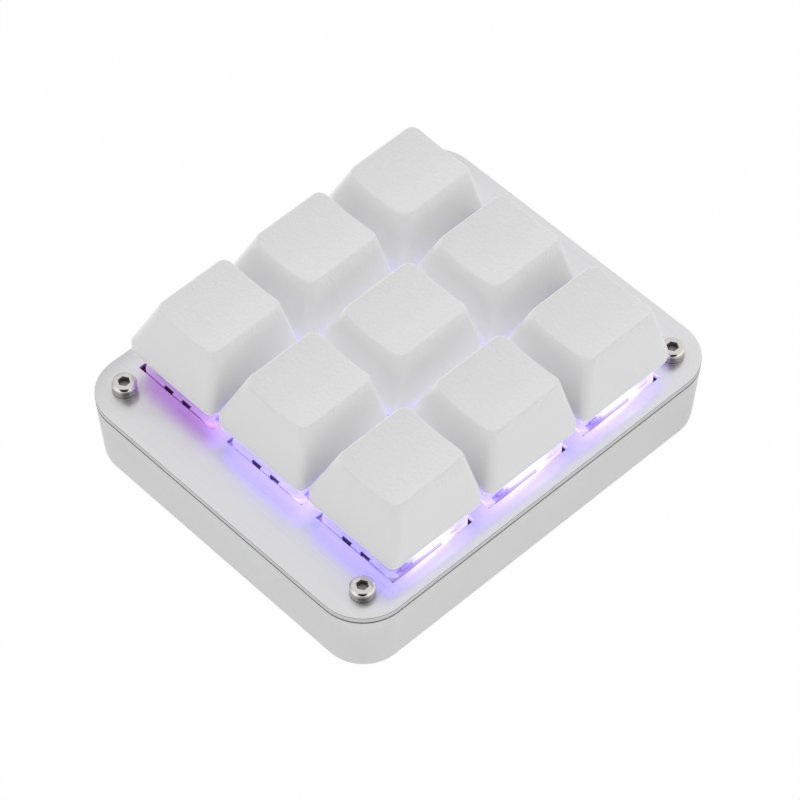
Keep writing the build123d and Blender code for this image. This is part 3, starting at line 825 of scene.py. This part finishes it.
class KEYPAD_OT_tray(bpy.types.Operator):
    """Model the drafted tray with its rounded bottom edge, cavity and inlet window"""

    bl_idname = "keypad.tray"
    bl_label = "Tray"

    def execute(self, context):
        sizes = context.scene.keypad_shell
        colour = context.scene.keypad_colours.tray
        bm = self.shell(sizes)
        self.add_posts(bm, sizes)
        # The rim's finish is painted dark, as the shade of the seam under the plate.
        rim = shaded_edge("rim_edge", colour, dark=0.15, light=0.3, rough=(0.2, 0.3))
        finishes = [blasted_silver(colour), rim]
        tray = finish_piece(bm, "tray", finishes, KEYPAD, ["case"])
        cut_away(tray, self.openings(sizes))
        return {"FINISHED"}

    @staticmethod
    def shell(sizes):
        """Walls and floor, with the rounded rim in the second finish."""
        height = CASE_HIGH.z - CASE_LOW.z
        bm = bmesh.new()
        bottom = rounded_sheet(bm, CASE_LOW, CASE_HIGH, sizes.corner, CORNER_STEPS)
        bmesh.ops.reverse_faces(bm, faces=bottom)
        bm.normal_update()
        bmesh.ops.inset_region(bm, faces=bottom, thickness=sizes.draft, depth=height,
                               use_even_offset=True, use_boundary=True)
        open_edges = [e for e in bm.edges if e.is_boundary]
        mouth = bmesh.ops.holes_fill(bm, edges=open_edges)["faces"]
        bm.normal_update()
        bmesh.ops.inset_region(bm, faces=mouth, thickness=sizes.wall, use_even_offset=True)
        deep = extrude_faces(bm, mouth)
        bmesh.ops.translate(bm, vec=(0, 0, sizes.floor - height), verts=deep)
        bmesh.ops.recalc_face_normals(bm, faces=bm.faces)
        bottom_edges = [e for e in sharp_edges(bm)
                        if max(v.co.z for v in e.verts) < CASE_LOW.z + NEAR]
        round_edges(bm, bottom_edges, sizes.tray_edge, 4)
        rim_edges = [e for e in sharp_edges(bm)
                     if min(v.co.z for v in e.verts) > CASE_HIGH.z - NEAR]
        round_edges(bm, rim_edges, sizes.rim_edge, 2)
        for face in bm.faces:
            above = face.calc_center_median().z > CASE_HIGH.z - sizes.rim_edge
            face.material_index = int(above and abs(face.normal.z) < 0.95)
        return bm

    @staticmethod
    def add_posts(bm, sizes):
        """Posts for the cover screws and supports for the board, sunk into the floor."""
        floor_top = CASE_LOW.z + sizes.floor
        foot = floor_top - sizes.floor / 2
        head = sizes.head / 2
        for centre in four_corners(SCREW_HIGH.x - head, SCREW_HIGH.y - head):
            add_rod(bm, sizes.post / 2, foot, CASE_HIGH.z, centre)
        for centre in four_corners(PITCH / 2, PITCH / 2):
            add_rod(bm, sizes.post / 2, foot, BOARD_LOW.z, centre)

    @staticmethod
    def openings(sizes):
        """Space of the inlet's window and of the feet's recesses."""
        bm = bmesh.new()
        gap = Vector((sizes.window_gap, 0, sizes.window_gap))
        shell_low = Vector((INLET_LOW.x, INLET_LOW.y, BOARD_HIGH.z))
        shell_high = Vector((INLET_HIGH.x, CASE_HIGH.y, INLET_HIGH.z))
        add_block(bm, shell_low - gap, shell_high + gap)
        along = [e for e in bm.edges
                 if abs((e.verts[0].co - e.verts[1].co).normalized().y) > 0.7]
        round_edges(bm, along, (INLET_HIGH.z - BOARD_HIGH.z) / 2 + sizes.window_gap, 10)
        radius = sizes.foot / 2
        for centre in four_corners(FEET_HIGH.x - radius, FEET_HIGH.y - radius):
            add_rod(bm, radius + sizes.foot_gap, FEET_LOW.z, FEET_HIGH.z, centre)
        return bm


class KEYPAD_OT_cover_plate(bpy.types.Operator):
    """Model the cover plate with its square openings and broken edges"""

    bl_idname = "keypad.cover_plate"
    bl_label = "Cover plate"

    def execute(self, context):
        sizes = context.scene.keypad_shell
        colours = context.scene.keypad_colours
        bm = bmesh.new()
        add_block(bm, PLATE_LOW, PLATE_HIGH)
        round_edges(bm, upright_edges(bm), sizes.corner, CORNER_STEPS)
        half = sizes.opening / 2
        for axis in (0, 1):
            normal = Vector((axis == 0, axis == 1, 0))
            cuts = {round(key_centre(p)[axis] + side * half, 6) for p in PLACES for side in (-1, 1)}
            for cut in sorted(cuts):
                geometry = bm.verts[:] + bm.edges[:] + bm.faces[:]
                bmesh.ops.bisect_plane(bm, geom=geometry, plane_co=normal * cut, plane_no=normal)
        for place in PLACES:
            self.open_at(bm, key_centre(place), half)
        round_edges(bm, sharp_edges(bm), sizes.plate_edge, 2)
        grain = bm.loops.layers.uv.new("grain")
        for face in bm.faces:
            face.material_index = self.finish_of(face, sizes.corner)
            for loop in face.loops:
                loop[grain].uv = (loop.vert.co.y / MM, -loop.vert.co.x / MM)
        # Edges and opening walls are painted darker than the plate, as shade and dark reflection.
        edge_shade = {"dark": 0.6, "light": 0.85, "rough": (0.3, 0.45)}
        wall = shaded_edge("lit_edge", colours.plate, **edge_shade)
        finishes = [brushed_plate(colours.plate), shaded_edge("shaded_edge", colours.plate, **edge_shade),
                    shaded_edge("broken_edge_shade", colours.plate, dark=0.2, light=0.4, rough=(0.1, 0.2)),
                    light_from_right(wall, colours, 0.25, 0.8)]
        finish_piece(bm, "cover_plate_skin", finishes, KEYPAD, ["cover_plate"])
        return {"FINISHED"}

    @staticmethod
    def finish_of(face, corner):
        """Place of a face's finish in the list: flat, outer edge, broken edge or opening's wall."""
        level = abs(face.normal.z)
        middle = face.calc_center_median()
        inside = max(abs(middle.x) - PLATE_HIGH.x, abs(middle.y) - PLATE_HIGH.y) <= -corner / 2
        if level > 0.9:
            return 0
        if inside:
            return 3
        return 2 if level > 0.1 else 1

    @staticmethod
    def open_at(bm, centre, half):
        """Takes the plate away inside one opening and walls it round."""

        def inside(face):
            middle = face.calc_center_median()
            return abs(middle.x - centre.x) < half and abs(middle.y - centre.y) < half

        lids = [f for f in bm.faces if abs(f.normal.z) > 0.5 and inside(f)]
        edges = list({e for f in lids for e in f.edges})
        bmesh.ops.delete(bm, geom=lids, context="FACES_ONLY")
        bmesh.ops.bridge_loops(bm, edges=edges)


class KEYPAD_OT_cover_screws(bpy.types.Operator):
    """Model the polished socket-head screws"""

    bl_idname = "keypad.cover_screws"
    bl_label = "Cover screws"

    def execute(self, context):
        sizes = context.scene.keypad_shell
        colour = context.scene.keypad_colours.screw
        bm = bmesh.new()
        head = sizes.head / 2
        for centre in four_corners(SCREW_HIGH.x - head, SCREW_HIGH.y - head):
            self.add_head(bm, centre, sizes)
            self.sink_socket(bm, centre, sizes)
            add_rod(bm, sizes.shank / 2, SCREW_LOW.z, PLATE_HIGH.z, centre, 32)
        for face in bm.faces:
            if face.material_index == 0 and abs(face.normal.z) < 0.3:
                face.material_index = 2
        socket = socket_steel_shaded(colour, SCREW_HIGH.z - sizes.socket_depth)
        finishes = [polished_nickel(colour), socket, turned_side_shading(colour)]
        finish_piece(bm, "cover_screw_set", finishes, KEYPAD, ["cover_screws"])
        return {"FINISHED"}

    @staticmethod
    def add_head(bm, centre, sizes):
        """Head with a chamfered top edge, and with its other edges lightly rounded."""
        low, high = PLATE_HIGH.z, SCREW_HIGH.z
        head = add_rod(bm, sizes.head / 2, low, high, centre, 64)
        rims = [e for e in {e for v in head for e in v.link_edges}
                if abs(e.verts[0].co.z - e.verts[1].co.z) < TINY]
        round_edges(bm, [e for e in rims if e.verts[0].co.z > high - TINY], sizes.head_edge, 1)
        shoulders = []
        for edge in sharp_edges(bm, math.radians(30)):
            corner = edge.verts[0].co
            if corner.z > low and sizes.socket < (corner - centre).xy.length < sizes.head:
                shoulders.append(edge)
        round_edges(bm, shoulders, sizes.head_edge / 5, 2)
        bottom_rim = [e for e in rims if e.is_valid and e.verts[0].co.z < low + TINY]
        round_edges(bm, bottom_rim, sizes.head_edge / 4, 2)

    @staticmethod
    def sink_socket(bm, centre, sizes):
        """Hex socket in the top of a head, in the second finish."""
        lids = [f for f in bm.faces
                if f.normal.z > 0.99 and (f.calc_center_median() - centre).xy.length < TINY]
        lid = max(lids, key=lambda f: f.calc_center_median().z)
        outer = lid.edges[:]
        bmesh.ops.delete(bm, geom=[lid], context="FACES_ONLY")
        mouth = sizes.socket + 2 * sizes.mouth
        hexagon = bmesh.ops.create_circle(bm, cap_ends=False, segments=6,
                                          radius=mouth / math.sqrt(3))["verts"]
        bmesh.ops.translate(bm, vec=(centre.x, centre.y, SCREW_HIGH.z), verts=hexagon)
        inner = list({e for v in hexagon for e in v.link_edges})
        bmesh.ops.bridge_loops(bm, edges=outer + inner)
        here = Matrix.Translation((-centre.x, -centre.y, 0))
        chamfer = (sizes.socket / mouth, sizes.mouth)
        walls = (1.0, sizes.socket_depth - sizes.mouth)
        for scale, drop in (chamfer, walls):
            made = bmesh.ops.extrude_edge_only(bm, edges=inner)["geom"]
            deep = [v for v in made if isinstance(v, bmesh.types.BMVert)]
            bmesh.ops.scale(bm, vec=(scale, scale, 1), space=here, verts=deep)
            bmesh.ops.translate(bm, vec=(0, 0, -drop), verts=deep)
            inner = [e for e in made
                     if isinstance(e, bmesh.types.BMEdge) and all(v in deep for v in e.verts)]
            for edge in inner:
                edge.link_faces[0].material_index = 1
        floor = bmesh.ops.edgenet_fill(bm, edges=inner)["faces"]
        floor[0].material_index = 1


class KEYPAD_OT_keycaps(bpy.types.Operator):
    """Model the dished white keycaps"""

    bl_idname = "keypad.keycaps"
    bl_label = "Keycaps"

    def execute(self, context):
        colours = context.scene.keypad_colours
        finishes = [cap_white(colours), cap_inside(colours)]
        for place in PLACES:
            node = "keycap_" + place
            bm = self.cap_mesh(context.scene.keypad_caps, node)
            finish_piece(bm, "cap_" + place, finishes, "key_" + place, [node])
        return {"FINISHED"}

    def cap_mesh(self, sizes, node):
        """One cap in its place: outside in the first finish, inside in the second."""
        low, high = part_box(node)
        base = high.x - low.x
        bm = bmesh.new()
        self.add_walls(bm, sizes, base)
        self.dish_top(bm, sizes, base)
        under = [f for f in bm.faces if f.normal.z < -0.99]
        outside = [f for f in bm.faces if f not in under]
        self.hollow_out(bm, under, sizes, base)
        post_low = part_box(node.replace("keycap", "switch_top"))[1].z - low.z
        add_rod(bm, sizes.post / 2, post_low, sizes.height - sizes.ceiling, Vector(), 32)
        for face in bm.faces:
            face.material_index = 1
        for face in outside:
            face.material_index = 0
        middle = (low + high) / 2
        bmesh.ops.translate(bm, vec=(middle.x, middle.y, low.z), verts=bm.verts)
        return bm

    @staticmethod
    def add_walls(bm, sizes, base):
        """Solid cap on the origin: an upright skirt, leaning walls and a flat tilted top."""
        half = base / 2
        add_block(bm, (-half, -half, 0), (half, half, sizes.skirt))
        bm.normal_update()
        crown = extrude_faces(bm, [f for f in bm.faces if f.normal.z > 0.9])
        bmesh.ops.scale(bm, vec=(sizes.top_width / base, sizes.top_depth / base, 0), verts=crown)
        tilt = Matrix.Rotation(sizes.tilt, 3, "X")
        bmesh.ops.rotate(bm, cent=(0, 0, 0), matrix=tilt, verts=crown)
        bmesh.ops.translate(bm, vec=(0, sizes.top_setback, sizes.height), verts=crown)
        bm.normal_update()
        round_edges(bm, upright_edges(bm), sizes.edge, 8)
        knee = [e for e in bm.edges if all(abs(v.co.z - sizes.skirt) < TINY for v in e.verts)]
        round_edges(bm, knee, sizes.knee, 4)
        foot = [e for e in bm.edges if all(v.co.z < TINY for v in e.verts)]
        round_edges(bm, foot, sizes.foot, 2)

    @staticmethod
    def dish_top(bm, sizes, base):
        """Rounds the top face's rim, cuts the face into strips and sinks them to a hollow."""
        up = Vector((0, -math.sin(sizes.tilt), math.cos(sizes.tilt)))
        lid = [f for f in bm.faces if f.normal.dot(up) > 0.9999]
        round_edges(bm, lid[0].edges[:], sizes.rim, 4)
        lid = [f for f in bm.faces if f.normal.dot(up) > 0.9999]
        bmesh.ops.inset_region(bm, faces=lid, thickness=sizes.rim, use_even_offset=True)
        half = sizes.top_width / 2
        straight = half - sizes.edge
        turns = sorted({round(v.co.x, 7) for v in lid[0].verts})
        sheet = lid + lid[0].edges[:] + lid[0].verts[:]
        for across in turns:
            sheet = bmesh.ops.bisect_plane(bm, geom=sheet, dist=TINY, plane_co=(across, 0, 0),
                                           plane_no=(1, 0, 0))["geom"]
        for step in range(1, sizes.strips):
            cut = Vector((straight * (2 * step / sizes.strips - 1), 0, 0))
            geometry = bm.verts[:] + bm.edges[:] + bm.faces[:]
            bmesh.ops.bisect_plane(bm, geom=geometry, plane_co=cut, plane_no=(1, 0, 0))
        # The hollow's ends slide down the front and back walls, which lean by different amounts
        on_top = Vector((0, sizes.top_setback, sizes.height))
        rise = sizes.height - sizes.skirt
        for vert in bm.verts:
            if (on_top - vert.co).dot(up) < 1.1 * sizes.rim:
                drop = sizes.dish * max(0.0, 1 - (vert.co.x / half) ** 2)
                along = (vert.co.y - sizes.top_setback) / (sizes.top_depth / 2)
                lean = ((base - sizes.top_depth) / 2 - along * sizes.top_setback) / rise
                vert.co += Vector((0, along * lean * drop, 0)) - up * drop
        bm.normal_update()

    @staticmethod
    def hollow_out(bm, under, sizes, base):
        """Hollows a cap from its underside, with walls that lean as the outside does."""
        bmesh.ops.inset_region(bm, faces=under, thickness=sizes.wall - sizes.foot,
                               use_even_offset=True)
        roof = extrude_faces(bm, under)
        share = 1 - sizes.ceiling / sizes.height
        foot_inside = base - 2 * sizes.wall
        width = base + (sizes.top_width - base) * share - 2 * sizes.wall
        depth = base + (sizes.top_depth - base) * share - 2 * sizes.wall
        bmesh.ops.scale(bm, vec=(width / foot_inside, depth / foot_inside, 1), verts=roof)
        rise = (0, sizes.top_setback * share, sizes.height - sizes.ceiling)
        bmesh.ops.translate(bm, vec=rise, verts=roof)


class KEYPAD_OT_switch_housings(bpy.types.Operator):
    """Finish the clear switch housings, lit from inside"""

    bl_idname = "keypad.switch_housings"
    bl_label = "Switch housings"

    def execute(self, context):
        colours = context.scene.keypad_colours
        upper = clear_top(colours)
        lower = clear_base(colours)
        for place in PLACES:
            dress_node("switch_top_" + place, upper)
            dress_node("switch_base_" + place, lower)
        return {"FINISHED"}


class KEYPAD_OT_switch_springs(bpy.types.Operator):
    """Model the return springs at their length in the model; in use they shorten as their keys go
    down
    """

    bl_idname = "keypad.switch_springs"
    bl_label = "Switch springs"

    def execute(self, context):
        sizes = context.scene.keypad_spring
        wire = drawn_metal("spring_wire", (0.66, 0.64, 0.6), (0.18, 0.3), (3, 3, 3))
        for place in PLACES:
            node = "switch_spring_" + place
            low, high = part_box(node)
            middle = (low + high) / 2
            bm = self.coil(sizes, (high.x - low.x) / 2, high.z - low.z)
            bmesh.ops.translate(bm, vec=(middle.x, middle.y, low.z), verts=bm.verts)
            spring = finish_piece(bm, "spring_" + place, [wire], KEYPAD, [node])
            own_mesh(spring)
        return {"FINISHED"}

    @staticmethod
    def coil(sizes, outer, height):
        """Wire wound round the Z axis, standing on the origin."""
        bm = bmesh.new()
        radius = sizes.wire / 2
        steps = sizes.turns * sizes.steps
        section = bmesh.ops.create_circle(bm, cap_ends=True, segments=sizes.sides,
                                          radius=radius)["verts"]
        upright = Matrix.Rotation(math.radians(90), 3, "X")
        bmesh.ops.rotate(bm, cent=(0, 0, 0), matrix=upright, verts=section)
        bmesh.ops.translate(bm, vec=(outer - radius, 0, radius), verts=section)
        rise = Vector((0, 0, (height - sizes.wire) / steps))
        bmesh.ops.spin(bm, geom=bm.verts[:] + bm.edges[:] + bm.faces[:], cent=(0, 0, 0),
                       axis=(0, 0, 1), dvec=rise, angle=sizes.turns * math.tau, steps=steps,
                       use_merge=False, use_duplicate=False)
        return bm


class KEYPAD_OT_switch_insides(bpy.types.Operator):
    """Finish the stems, contacts and sockets"""

    bl_idname = "keypad.switch_insides"
    bl_label = "Switch insides"

    def execute(self, context):
        stem = moulded("stem_white", (0.72, 0.72, 0.74), (0.3, 0.45))
        leaf = drawn_metal("contact_leaf", (0.78, 0.55, 0.28), (0.2, 0.35), (2, 2, 0.5))
        for place in PLACES:
            dress_node("switch_stem_" + place, stem)
        dress_node("fixed_contacts", leaf)
        dress_node("moving_contacts", leaf)
        dress_node("hot_swap_sockets", moulded("socket_black", (0.025, 0.025, 0.025)))
        return {"FINISHED"}


class KEYPAD_OT_board(bpy.types.Operator):
    """Finish the circuit board and what is soldered to it"""

    bl_idname = "keypad.board"
    bl_label = "Circuit board"

    def execute(self, context):
        colours = context.scene.keypad_colours
        board = moulded("board_black", (0.02, 0.02, 0.024), (0.25, 0.4), scale=1.2, strength=0.1)
        chip = moulded("chip_black", (0.03, 0.03, 0.032))
        dress_node("circuit_board", light_from_right(board, colours, 0.05, 0.8))
        dress_node("microcontroller", chip)
        dress_node("key_diodes", chip)
        dress_node("capacitors", moulded("ceramic_tan", (0.45, 0.33, 0.22)))
        dress_node("key_lights", light_lens(colours))
        dress_node("circuit_board_screws", polished_nickel(colours.screw))
        return {"FINISHED"}


class KEYPAD_OT_cord_inlet(bpy.types.Operator):
    """Finish the inlet's metal shell and its tongue"""

    bl_idname = "keypad.cord_inlet"
    bl_label = "Cord inlet"

    def execute(self, context):
        steel = drawn_metal("inlet_steel", (0.7, 0.7, 0.7), (0.18, 0.3), (4, 0.3, 4))
        dress_node("cord_inlet_shell", steel)
        dress_node("cord_inlet_tongue", moulded("tongue_black", (0.02, 0.02, 0.02)))
        return {"FINISHED"}


class KEYPAD_OT_rubber_feet(bpy.types.Operator):
    """Finish the rubber feet"""

    bl_idname = "keypad.rubber_feet"
    bl_label = "Rubber feet"

    def execute(self, context):
        rubber = moulded("foot_rubber", (0.03, 0.03, 0.03), (0.7, 0.9), scale=1.6, strength=0.4)
        dress_node("rubber_feet", rubber)
        return {"FINISHED"}


# Stage


def direction(turn, rise):
    """Unit vector at a turn from the front to the right and at a height angle."""
    level = math.cos(rise)
    return Vector((math.sin(turn) * level, -math.cos(turn) * level, math.sin(rise)))


def facing(tree, place, towards):
    """How far a direction agrees with a fixed one, from -1 to 1."""
    product = add_node(tree, "VectorMath", operation="DOT_PRODUCT")
    product.inputs[1].default_value = towards
    tree.links.new(place, product.inputs[0])
    return product.outputs["Value"]


class KEYPAD_OT_stage(bpy.types.Operator):
    """Set up the pale floor, the studio light and the camera"""

    bl_idname = "keypad.stage"
    bl_label = "Stage"

    def execute(self, context):
        settings = context.scene.keypad_stage
        self.add_floor(settings)
        self.light_world(settings)
        self.add_softbox(settings)
        self.add_camera(settings)
        context.scene.view_settings.view_transform = "Standard"
        return {"FINISHED"}

    @staticmethod
    def add_floor(settings):
        """Pale floor, lifted to white where it is seen, that still takes the keypad's shadow."""
        bm = bmesh.new()
        bmesh.ops.create_grid(bm, x_segments=1, y_segments=1, size=FLOOR_HALF)
        bmesh.ops.translate(bm, vec=(0, 0, -FLOOR_DROP), verts=bm.verts)
        mesh = bpy.data.meshes.new("floor")
        bm.to_mesh(mesh)
        bm.free()
        floor = bpy.data.objects.new("floor", mesh)
        bpy.context.collection.objects.link(floor)
        material, tree, shader = new_material(
            "pale_floor", Base_Color=FLOOR_GREY, Roughness=0.9, Specular_IOR_Level=0.0)
        mesh.materials.append(material)
        white = add_node(tree, "Emission", Color=WHITE, Strength=1.0)
        path = add_node(tree, "LightPath")
        seen = path.outputs["Is Camera Ray"]
        for name in ("Is Glossy Ray", "Is Transmission Ray"):
            seen = combine(tree, "MAXIMUM", seen, path.outputs[name])
        mix = add_node(tree, "MixShader")
        tree.links.new(combine(tree, "MULTIPLY", seen, settings.floor_white), mix.inputs[0])
        tree.links.new(shader.outputs["BSDF"], mix.inputs[1])
        tree.links.new(white.outputs["Emission"], mix.inputs[2])
        tree.links.new(mix.outputs["Shader"], tree.nodes["Material Output"].inputs["Surface"])

    @staticmethod
    def light_world(settings):
        """Pale surround, brighter low down, dimmer at the left, with a dim patch by the camera."""
        world = bpy.data.worlds.new("studio")
        bpy.context.scene.world = world
        world.use_nodes = True
        tree = world.node_tree
        place = add_node(tree, "TexCoord").outputs["Generated"]
        split = add_node(tree, "SeparateXYZ")
        tree.links.new(place, split.inputs["Vector"])
        side = facing(tree, place, direction(settings.azimuth, 0))
        low = spread(tree, side, settings.far_low, settings.near_low, -1.0, 1.0)
        high = spread(tree, side, settings.far_high, settings.near_high, -1.0, 1.0)
        up = combine(tree, "MAXIMUM", split.outputs["Z"], 0.0)
        low_part = combine(tree, "MULTIPLY", low, combine(tree, "SUBTRACT", 1.0, up))
        high_part = combine(tree, "MULTIPLY", high, up)
        level = combine(tree, "ADD", low_part, high_part)
        by_patch = facing(tree, place, direction(settings.azimuth, settings.patch_rise))
        patch = spread(tree, by_patch, 1.0, PATCH_LEVEL, *PATCH_EDGE)
        left = spread(tree, split.outputs["X"], settings.left_share, 1.0, *LEFT_FADE)
        for share in (patch, left):
            level = combine(tree, "MULTIPLY", level, share)
        surround = tree.nodes["Background"]
        surround.inputs["Color"].default_value = WHITE
        tree.links.new(level, surround.inputs["Strength"])

    @staticmethod
    def add_softbox(settings):
        """Round lamp low down on the left, which metal doesn't mirror."""
        lamp = bpy.data.lights.new("softbox", "AREA")
        lamp.shape = "DISK"
        lamp.size = settings.softbox_size
        lamp.energy = settings.softbox
        box = bpy.data.objects.new("softbox", lamp)
        box.location = settings.softbox_place
        box.visible_glossy = False
        box.rotation_euler = (-box.location).to_track_quat("-Z", "Y").to_euler()
        bpy.context.collection.objects.link(box)

    @staticmethod
    def add_camera(settings):
        """Camera at the photograph's viewing angle."""
        data = bpy.data.cameras.new("camera")
        data.sensor_width = FRAME_WIDTH
        data.lens = settings.lens
        data.clip_start = 0.01
        camera = bpy.data.objects.new("camera", data)
        back = direction(settings.azimuth, settings.elevation)
        camera.location = Vector(settings.aim) + back * settings.distance
        camera.rotation_euler = (-back).to_track_quat("-Z", "Y").to_euler()
        bpy.context.collection.objects.link(camera)
        bpy.context.scene.camera = camera


OPERATORS = (
    KEYPAD_OT_stage,
    KEYPAD_OT_tray,
    KEYPAD_OT_cover_plate,
    KEYPAD_OT_cover_screws,
    KEYPAD_OT_keycaps,
    KEYPAD_OT_switch_housings,
    KEYPAD_OT_switch_springs,
    KEYPAD_OT_switch_insides,
    KEYPAD_OT_board,
    KEYPAD_OT_cord_inlet,
    KEYPAD_OT_rubber_feet,
)
SETTINGS = {
    "keypad_caps": CapSizes,
    "keypad_shell": ShellSizes,
    "keypad_spring": SpringSizes,
    "keypad_colours": FinishColours,
    "keypad_stage": StageSettings,
}


class KEYPAD_PT_panel(bpy.types.Panel):
    """Lists the keypad's pieces and its settings"""

    bl_idname = "KEYPAD_PT_panel"
    bl_label = "Keypad"
    bl_space_type = "VIEW_3D"
    bl_region_type = "UI"
    bl_category = "Keypad"

    def draw(self, context):
        for operator in OPERATORS:
            self.layout.operator(operator.bl_idname)
        for name, group in SETTINGS.items():
            box = self.layout.box()
            for setting in group.__annotations__:
                box.prop(getattr(context.scene, name), setting)


def register():
    """Adds the settings, the operators and the panel to Blender."""
    for name, group in SETTINGS.items():
        bpy.utils.register_class(group)
        setattr(bpy.types.Scene, name, PointerProperty(type=group))
    for operator in OPERATORS:
        bpy.utils.register_class(operator)
    bpy.utils.register_class(KEYPAD_PT_panel)


def unregister():
    """Takes the panel, the operators and the settings out of Blender again."""
    bpy.utils.unregister_class(KEYPAD_PT_panel)
    for operator in reversed(OPERATORS):
        bpy.utils.unregister_class(operator)
    for name, group in SETTINGS.items():
        delattr(bpy.types.Scene, name)
        bpy.utils.unregister_class(group)


def main():
    """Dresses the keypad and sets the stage."""
    register()
    for operator in OPERATORS:
        family, name = operator.bl_idname.split(".")
        getattr(getattr(bpy.ops, family), name)()


if __name__ == "__main__":
    main()
